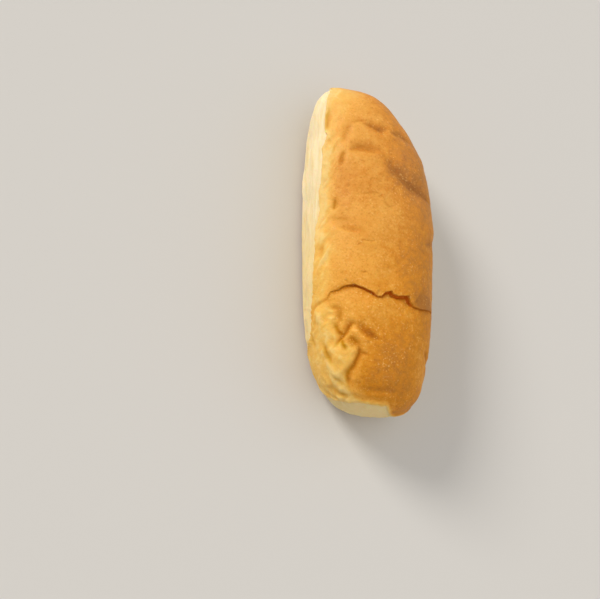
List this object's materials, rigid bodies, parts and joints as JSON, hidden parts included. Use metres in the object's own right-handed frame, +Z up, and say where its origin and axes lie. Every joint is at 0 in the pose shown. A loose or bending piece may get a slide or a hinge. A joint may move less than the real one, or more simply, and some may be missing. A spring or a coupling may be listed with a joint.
{
  "type": "samoon bread roll",
  "caption": "Long soft bread roll with a golden crust on top, pale flanks, a split across its crown and a flat baked base.",
  "frame": {"origin": "on the flat base, under the middle of the roll's length and width", "axes": "+Z up, +Y along the roll from its blunt near end to its slimmer far end, -X the paler flank"},
  "size_m": [0.0639, 0.1653, 0.0467],
  "materials": {
    "crust": "soft golden baked crust with a satin sheen, cream and matte on the flanks"
  },
  "bodies": {
    "root": {"samoon_roll": "crust"}
  },
  "joints": []
}
